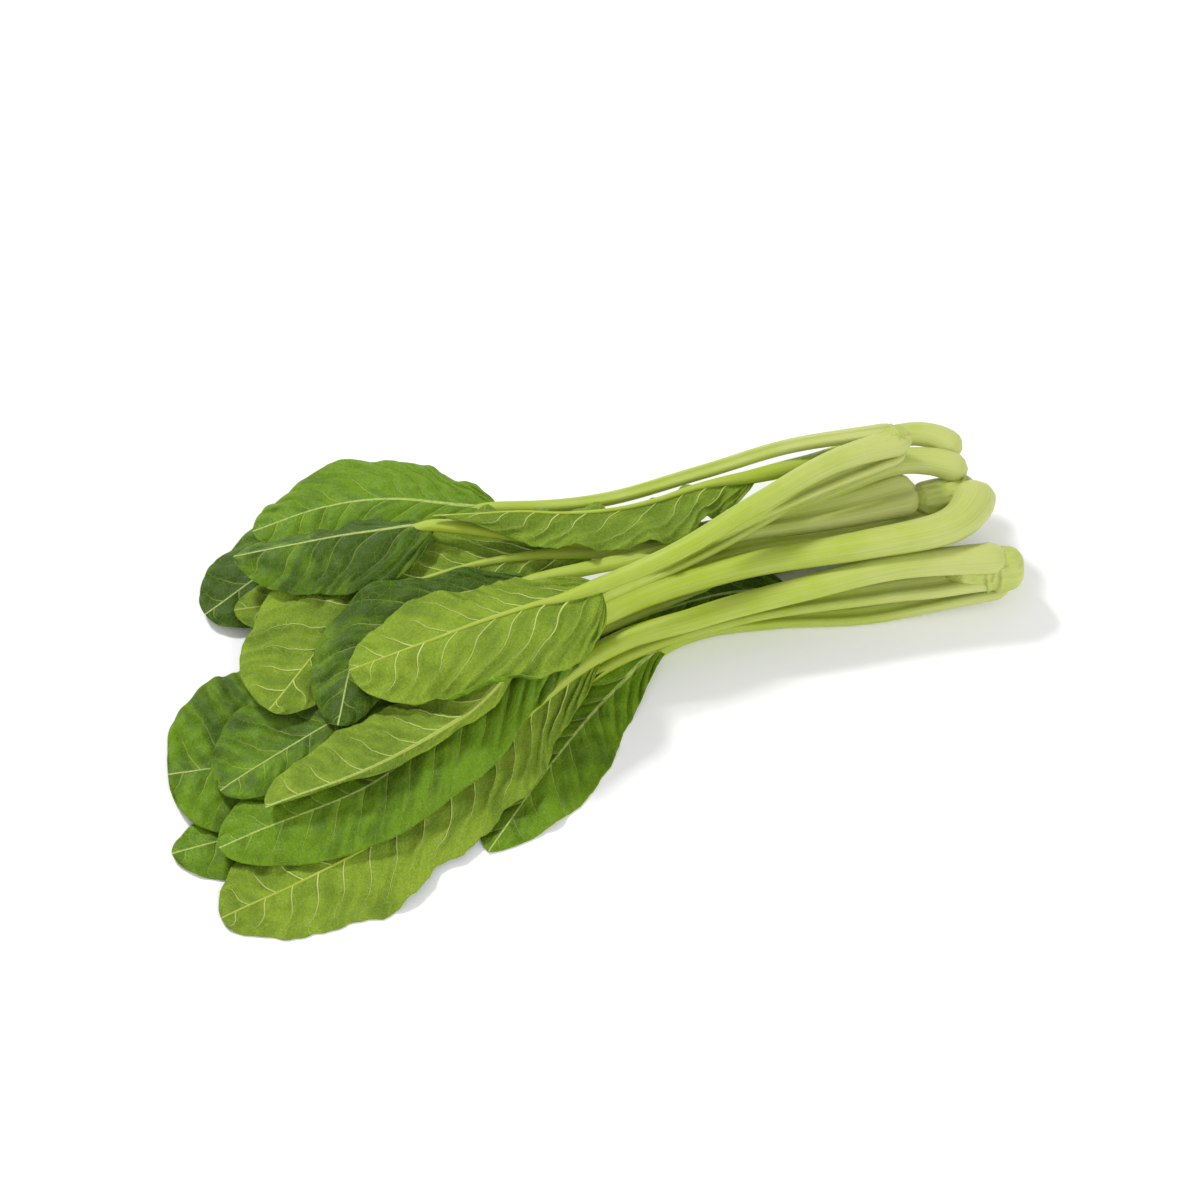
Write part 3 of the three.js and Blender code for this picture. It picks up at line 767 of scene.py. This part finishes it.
def build_vein_group():
    """Masks of a blade's side veins and of the net between them, a painted fold shade for each panel between
    the veins, and the height of the skin.
    """
    outputs = ["Lines", "Net", "Painted Fold Shade", "Height"]
    tree, given = shader_group("Leaf Veins", {"Line Width": 0.05, "Net Size": 5.0}, outputs)
    uv = add_node(tree, "ShaderNodeUVMap", uv_map="veins").outputs["UV"]
    parts = add_node(tree, "ShaderNodeSeparateXYZ", {0: uv}).outputs
    flat = add_node(tree, "ShaderNodeUVMap", uv_map="blade").outputs["UV"]
    distance = maths(tree, "ABSOLUTE", maths(tree, "SUBTRACT", parts[0], maths(tree, "ROUND", parts[0])))
    width = maths(tree, "MULTIPLY", given["Line Width"], maths(tree, "SUBTRACT", 1.15, parts[1]))
    lines = maths(tree, "SUBTRACT", 1.0, step(tree, maths(tree, "DIVIDE", distance, width), 0.3, 1.3))
    soft = maths(tree, "SUBTRACT", 1.0, step(tree, distance, 0.0, 0.3))
    # Painted fold shade: noise laid out along the veins, which lightens and darkens the panels between them
    # as the shade of their puckers would.
    painted_fold_shade = noise(tree, uv, 1.7, 3.0)
    nets = []
    for share, thin in ((1.0, 0.06), (0.4, 0.1)):
        scale = maths(tree, "DIVIDE", 100.0 / share, given["Net Size"])
        cell = add_node(
            tree,
            "ShaderNodeTexVoronoi",
            {"Vector": flat, "Scale": scale, "Randomness": 0.9},
            feature="DISTANCE_TO_EDGE",
            voronoi_dimensions="2D",
        ).outputs["Distance"]
        nets.append(maths(tree, "SUBTRACT", 1.0, step(tree, cell, 0.0, thin)))
    net = maths(tree, "MAXIMUM", nets[0], maths(tree, "MULTIPLY", nets[1], 0.5))
    pillow = maths(tree, "MAXIMUM", soft, maths(tree, "MULTIPLY", nets[0], 0.45))
    height = maths(tree, "ADD", maths(tree, "MULTIPLY", pillow, 0.6), maths(tree, "MULTIPLY", nets[1], 0.15))
    height = maths(tree, "ADD", maths(tree, "MULTIPLY", lines, 0.5), height)
    add_node(tree, "NodeGroupOutput", {"Lines": lines, "Net": net, "Painted Fold Shade": painted_fold_shade, "Height": height})


def build_mottle_group():
    """Uneven growth, and on the blades partly painted shade of large folds: broad patches, fine grain and
    streaks along X, all from 0 to 1.
    """
    inputs = {"Patch Size": 30.0, "Grain Size": 1.0}
    tree, given = shader_group("Mottle", inputs, ["Patches", "Grain", "Streaks"])
    here = add_node(tree, "ShaderNodeTexCoord").outputs["Object"]
    outputs = {}
    for name, size, detail in (("Patches", given["Patch Size"], 3.0), ("Grain", given["Grain Size"], 2.0)):
        scale = maths(tree, "DIVIDE", 1000.0, size)
        outputs[name] = noise(tree, here, scale, detail)
    drawn = add_node(tree, "ShaderNodeMapping", {"Vector": here, "Scale": (0.06, 1.0, 1.0)}).outputs["Vector"]
    outputs["Streaks"] = noise(tree, drawn, 900.0, 3.0)
    add_node(tree, "NodeGroupOutput", outputs)


def new_material(name, roughness, subsurface, specular=0.4):
    """A material and its tree and Principled shader, with even values set."""
    material = bpy.data.materials.new(name)
    material.use_nodes = True
    tree = material.node_tree
    shader = tree.nodes["Principled BSDF"]
    shader.inputs["Roughness"].default_value = roughness
    shader.inputs["Specular IOR Level"].default_value = specular
    shader.inputs["Subsurface Weight"].default_value = subsurface
    shader.inputs["Subsurface Radius"].default_value = (0.8, 1.0, 0.25)
    shader.inputs["Subsurface Scale"].default_value = 0.002
    return material, tree, shader


def finish_material(tree, shader, colour, rough, height, bump, depth):
    """Links colour, roughness and bumps. rough: a value, its low and high, and the roughness at each."""
    tree.links.new(colour, shader.inputs["Base Color"])
    tree.links.new(step(tree, *rough), shader.inputs["Roughness"])
    bumped = add_node(tree, "ShaderNodeBump", {"Height": height, "Strength": bump, "Distance": depth})
    tree.links.new(bumped.outputs["Normal"], shader.inputs["Normal"])


def blade_material(name, dark, light, vein, inner):
    """One face of the blades: the inner face has sunken veins, and the outer face raised ones."""
    material, tree, shader = new_material(name, 0.5, 0.1, 0.16 if inner else 0.12)
    veins = group_node(tree, "Leaf Veins", Line_Width=0.05, Net_Size=3.6)
    mottle = group_node(tree, "Mottle", Patch_Size=35.0, Grain_Size=0.8)
    # Painted light and shade: the per-leaf tone, broad patches that stand in for the shade of large folds,
    # and the painted fold shade between the veins move each spot between the dark and the light green; only
    # part of this is the leaf's own uneven colour.
    tone_and_painted_light = maths(tree, "MULTIPLY", value_of(tree, "tone_and_painted_light"), 0.7)
    shade = maths(tree, "ADD", step(tree, mottle["Patches"], 0.35, 0.65, 0.05, 0.6), tone_and_painted_light)
    shade = maths(tree, "ADD", shade, step(tree, veins["Painted Fold Shade"], 0.3, 0.7, -0.35, 0.5), clamp=True)
    colour = blend(tree, shade, dark, light)
    grain = step(tree, mottle["Grain"], 0.3, 0.7, 0.86, 1.12)
    grey = add_node(tree, "ShaderNodeCombineXYZ", {0: grain, 1: grain, 2: grain}).outputs[0]
    colour = blend(tree, 1.0, colour, grey, "MULTIPLY")
    net = maths(tree, "MULTIPLY", veins["Net"], 0.15 if inner else 0.24)
    lines = maths(tree, "MULTIPLY", veins["Lines"], 0.25 if inner else 0.3)
    rib = maths(tree, "SUBTRACT", 1.0, step(tree, value_of(tree, "rib"), 0.5, 1.1))
    mask = maths(tree, "MAXIMUM", maths(tree, "MAXIMUM", net, lines), maths(tree, "MULTIPLY", rib, 0.75))
    colour = blend(tree, mask, colour, vein)
    # Painted highlight: the outermost margin is lightened towards the light green, as where an edge catches
    # the light.
    painted_rim_light = step(tree, value_of(tree, "margin"), 0.95, 1.0, 0.0, 0.35)
    colour = blend(tree, painted_rim_light, colour, light)
    rough = (mottle["Grain"], 0.25, 0.75, 0.42 if inner else 0.55, 0.6 if inner else 0.72)
    height = maths(tree, "MULTIPLY", veins["Height"], -1.0 if inner else 1.0)
    height = maths(tree, "ADD", height, maths(tree, "MULTIPLY", mottle["Grain"], 0.12))
    finish_material(tree, shader, colour, rough, height, 0.85, 0.0008)
    return material


def vein_material(colour):
    material, tree, shader = new_material("Leaf Vein", 0.45, 0.2)
    mottle = group_node(tree, "Mottle", Patch_Size=12.0, Grain_Size=0.6)
    paint = blend(tree, step(tree, mottle["Patches"], 0.3, 0.7, 0.0, 0.35), colour, srgb(130, 152, 52))
    rough = (mottle["Grain"], 0.3, 0.7, 0.4, 0.6)
    finish_material(tree, shader, paint, rough, mottle["Grain"], 0.3, 0.0002)
    return material


def stalk_material(pale, green):
    """Pale and streaked at the base, greener towards the blade."""
    material, tree, shader = new_material("Stalk", 0.38, 0.2, 0.32)
    mottle = group_node(tree, "Mottle", Patch_Size=14.0, Grain_Size=0.5)
    uv = add_node(tree, "ShaderNodeUVMap", uv_map="stalk").outputs["UV"]
    along = add_node(tree, "ShaderNodeSeparateXYZ", {0: uv}).outputs[0]
    drawn = add_node(tree, "ShaderNodeMapping", {"Vector": uv, "Scale": (1.3, 20.0, 1.0)}).outputs["Vector"]
    lines = noise(tree, drawn, 1.6, 4.0)
    ripe = step(tree, along, 0.0, 0.7, 0.0, 0.85)
    ripe = maths(tree, "ADD", ripe, step(tree, lines, 0.3, 0.7, -0.25, 0.25))
    ripe = maths(tree, "ADD", ripe, step(tree, mottle["Patches"], 0.3, 0.7, -0.12, 0.12), clamp=True)
    colour = blend(tree, ripe, pale, green)
    rough = (lines, 0.3, 0.7, 0.3, 0.48)
    height = maths(tree, "ADD", lines, maths(tree, "MULTIPLY", mottle["Grain"], 0.3))
    finish_material(tree, shader, colour, rough, height, 0.4, 0.0005)
    return material


def stem_material(skin, pale):
    material, tree, shader = new_material("Stem Skin", 0.42, 0.2, 0.45)
    mottle = group_node(tree, "Mottle", Patch_Size=9.0, Grain_Size=0.6)
    colour = blend(tree, step(tree, mottle["Streaks"], 0.3, 0.7, 0.2, 0.8), skin, pale)
    colour = blend(tree, step(tree, mottle["Patches"], 0.55, 0.75, 0.0, 0.5), colour, srgb(196, 186, 110))
    rough = (mottle["Streaks"], 0.3, 0.7, 0.35, 0.55)
    finish_material(tree, shader, colour, rough, mottle["Streaks"], 0.8, 0.0008)
    return material


def cut_material(flesh):
    """The cut end: pale flesh, a woody ring and a darker, drying rim."""
    material, tree, shader = new_material("Cut End", 0.6, 0.25, 0.35)
    mottle = group_node(tree, "Mottle", Patch_Size=5.0, Grain_Size=0.5)
    ring = value_of(tree, "ring")
    woody = maths(tree, "MULTIPLY", step(tree, ring, 0.45, 0.6), step(tree, ring, 0.8, 0.9, 1.0, 0.0))
    colour = blend(tree, maths(tree, "MULTIPLY", woody, 0.6), flesh, srgb(186, 196, 120))
    colour = blend(tree, step(tree, ring, 0.85, 1.0, 0.0, 0.7), colour, srgb(150, 130, 80))
    colour = blend(tree, step(tree, mottle["Patches"], 0.45, 0.75, 0.0, 0.5), colour, srgb(205, 190, 140))
    rough = (mottle["Grain"], 0.3, 0.7, 0.5, 0.75)
    finish_material(tree, shader, colour, rough, mottle["Grain"], 0.5, 0.0004)
    return material


def floor_material(colour):
    material, tree, shader = new_material("Floor", 0.8, 0.0, 0.2)
    mottle = group_node(tree, "Mottle", Patch_Size=60.0, Grain_Size=1.0)
    paint = blend(tree, step(tree, mottle["Patches"], 0.3, 0.7, 0.0, 0.04), colour, srgb(225, 225, 225))
    rough = (mottle["Grain"], 0.3, 0.7, 0.75, 0.85)
    finish_material(tree, shader, paint, rough, mottle["Grain"], 0.02, 0.0001)
    return material


def need_groups():
    if "Mottle" not in bpy.data.node_groups:
        build_mottle_group()
        build_vein_group()


# ---- settings and operators ----


def colour_property(name, description, default):
    return bpy.props.FloatVectorProperty(
        name=name, description=description, subtype="COLOR", size=3, min=0, max=1, default=srgb(*default)
    )


def length_property(name, description, default, low, high):
    return bpy.props.FloatProperty(
        name=name, description=description, default=default, min=low, max=high,
        unit="LENGTH", subtype="DISTANCE", precision=5,
    )


class YuChoySizes(bpy.types.PropertyGroup):
    """Sizes of the leaves' fine shape."""

    blade_thickness: length_property("Blade Thickness", "Thickness of a leaf blade", 0.0005, 0.0002, 0.0012)
    vein_spacing: length_property("Vein Spacing", "Side veins' distance along the midrib", 0.012, 0.006, 0.03)
    vein_thickness: length_property("Vein Thickness", "Side veins' thickness", 0.00095, 0.0004, 0.004)
    quilt: length_property("Quilting", "How far the blade swells between its veins", 0.0014, 0, 0.004)
    ruffle: bpy.props.FloatProperty(
        name="Ruffle", description="How strongly the margins wave", subtype="FACTOR", default=1, min=0, max=2
    )


class YuChoyColours(bpy.types.PropertyGroup):
    """Colours of the leaves, stalks, stems and floor."""

    upper_dark: colour_property("Inner Face, Dark", "Darker green of the inner leaf face", (54, 82, 8))
    upper_light: colour_property("Inner Face, Light", "Lighter green of the inner leaf face", (98, 134, 12))
    under_dark: colour_property("Outer Face, Dark", "Darker green of the outer leaf face", (96, 122, 28))
    under_light: colour_property("Outer Face, Light", "Lighter green of the outer leaf face", (126, 152, 38))
    vein: colour_property("Veins", "Side veins and midrib", (186, 201, 112))
    stalk_pale: colour_property("Stalk, Pale", "Stalks near their base", (181, 188, 110))
    stalk_green: colour_property("Stalk, Green", "Stalks near the blade", (154, 174, 38))
    stem: colour_property("Stem", "Skin of the stems", (164, 180, 66))
    flesh: colour_property("Cut End", "Flesh at the cut ends", (205, 208, 150))
    floor: colour_property("Floor", "Surface under the bunch", (247, 247, 247))


class YUCHOY_OT_blades(bpy.types.Operator):
    """Build the sixteen leaf blades with their side veins"""

    bl_idname = "yuchoy.blades"
    bl_label = "Build Blades"

    def execute(self, context):
        need_groups()
        sizes = sizes_in_mm(context.scene.yu_choy_sizes)
        colour = context.scene.yu_choy_colours
        inner = blade_material("Blade Inner Face", colour.upper_dark, colour.upper_light, colour.vein, True)
        outer = blade_material("Blade Outer Face", colour.under_dark, colour.under_light, colour.vein, False)
        vein = vein_material(colour.vein)
        for leaf, blade, _ in layout(sizes):
            head, number = leaf["name"].split("_")
            obj = blade_object(f"blade_{leaf['name']}", leaf, blade, sizes, [inner, outer])
            join(obj, vein_object(f"veins_{leaf['name']}", leaf, blade, sizes, vein))
            hand_over(obj, f"{head}_blade_{number}")
        return {"FINISHED"}


class YUCHOY_OT_stalks(bpy.types.Operator):
    """Build the stalks, each running on as its blade's midrib"""

    bl_idname = "yuchoy.stalks"
    bl_label = "Build Stalks"

    def execute(self, context):
        need_groups()
        colours = context.scene.yu_choy_colours
        material = stalk_material(colours.stalk_pale, colours.stalk_green)
        for leaf, blade, (rings, far, _) in layout(sizes_in_mm(context.scene.yu_choy_sizes)):
            obj = tube_object(f"stalk_{leaf['name']}", rings, [material], blade.outer < 0)
            sides = rings.shape[1]
            along = np.concatenate([np.repeat(far, sides), [far[0], far[-1]]])
            turn = np.concatenate([np.tile(np.arange(sides) / sides, len(far)), [0, 0]])
            turn = np.abs(turn * 2 - 1)
            vertices = corner_vertices(obj.data)
            add_uv(obj.data, "stalk", np.stack([along, turn], axis=1)[vertices])
            head, number = leaf["name"].split("_")
            hand_over(obj, f"{head}_stalk_{number}")
        return {"FINISHED"}


class YUCHOY_OT_stems(bpy.types.Operator):
    """Build the three short stems with their leaf scars and cut ends"""

    bl_idname = "yuchoy.stems"
    bl_label = "Build Stems"

    def execute(self, context):
        need_groups()
        colours = context.scene.yu_choy_colours
        materials = [stem_material(colours.stem, colours.stalk_pale), cut_material(colours.flesh)]
        for number, (name, head) in enumerate(HEADS.items()):
            rings = stem_rings(head, np.random.default_rng(300 + number))
            cut = (np.arange(len(rings)) < CUT_RINGS).astype(int)
            obj = tube_object(f"stem_{name}", rings, materials, True, cut)
            outwards = np.ones(len(rings))
            outwards[:CUT_RINGS] = (0, 0.6, 0.9)
            add_values(obj.data, "ring", np.concatenate([np.repeat(outwards, STEM_SIDES), [0, 1]]))
            hand_over(obj, f"{name}_stem")
        return {"FINISHED"}


class YUCHOY_OT_stage(bpy.types.Operator):
    """Build the floor, the lights and the camera"""

    bl_idname = "yuchoy.stage"
    bl_label = "Build Stage"

    def execute(self, context):
        need_groups()
        scene = context.scene
        scene.view_settings.view_transform = "Standard"
        mesh = bpy.data.meshes.new("floor")
        mesh.from_pydata([(-4, -4, 0), (4, -4, 0), (4, 4, 0), (-4, 4, 0)], [], [(0, 1, 2, 3)])
        mesh.materials.append(floor_material(scene.yu_choy_colours.floor))
        floor = bpy.data.objects.new("floor", mesh)
        scene.collection.objects.link(floor)

        add_light("key", (-0.35, 0.95, 1.15), 0.24, 17)
        add_light("fill", (0.4, -1.2, 0.8), 1.6, 15)
        world = bpy.data.worlds.new("Studio")
        world.use_nodes = True
        background = world.node_tree.nodes["Background"].inputs
        background["Color"].default_value = (1, 1, 1, 1)
        background["Strength"].default_value = 0.58
        scene.world = world

        target = Vector((0.012, -0.0105, 0.020))
        azimuth, elevation, distance = math.radians(-22), math.radians(55), 1.1333
        back = Vector((
            math.sin(azimuth) * math.cos(elevation),
            -math.cos(azimuth) * math.cos(elevation),
            math.sin(elevation),
        ))
        camera = bpy.data.objects.new("camera", bpy.data.cameras.new("camera"))
        camera.data.lens = 85
        camera.data.sensor_width = 36
        camera.location = target + back * distance
        camera.rotation_mode = "QUATERNION"
        camera.rotation_quaternion = (-back).to_track_quat("-Z", "Y")
        scene.collection.objects.link(camera)
        scene.camera = camera
        return {"FINISHED"}


def add_light(name, place, size, power):
    """A large soft area light aimed at the middle of the bunch."""
    light = bpy.data.objects.new(name, bpy.data.lights.new(name, "AREA"))
    light.data.size = size
    light.data.energy = power
    light.location = place
    light.rotation_euler = (-Vector(place)).to_track_quat("-Z", "Y").to_euler()
    bpy.context.scene.collection.objects.link(light)


class YUCHOY_PT_bunch(bpy.types.Panel):
    """Sizes, colours and build buttons for the bunch"""

    bl_idname = "YUCHOY_PT_bunch"
    bl_label = "Yu Choy Bunch"
    bl_space_type = "VIEW_3D"
    bl_region_type = "UI"
    bl_category = "Yu Choy"

    def draw(self, context):
        layout_column = self.layout.column()
        for settings in (context.scene.yu_choy_sizes, context.scene.yu_choy_colours):
            for name in settings.__annotations__:
                layout_column.prop(settings, name)
            layout_column.separator()
        for operator in OPERATORS:
            layout_column.operator(operator.bl_idname)


OPERATORS = (YUCHOY_OT_blades, YUCHOY_OT_stalks, YUCHOY_OT_stems, YUCHOY_OT_stage)
CLASSES = (YuChoySizes, YuChoyColours, *OPERATORS, YUCHOY_PT_bunch)


def register():
    for item in CLASSES:
        bpy.utils.register_class(item)
    bpy.types.Scene.yu_choy_sizes = bpy.props.PointerProperty(type=YuChoySizes)
    bpy.types.Scene.yu_choy_colours = bpy.props.PointerProperty(type=YuChoyColours)


def unregister():
    del bpy.types.Scene.yu_choy_colours
    del bpy.types.Scene.yu_choy_sizes
    for item in reversed(CLASSES):
        bpy.utils.unregister_class(item)


def main():
    register()
    bpy.ops.yuchoy.blades()
    bpy.ops.yuchoy.stalks()
    bpy.ops.yuchoy.stems()
    bpy.ops.yuchoy.stage()
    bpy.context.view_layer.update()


if __name__ == "__main__":
    main()
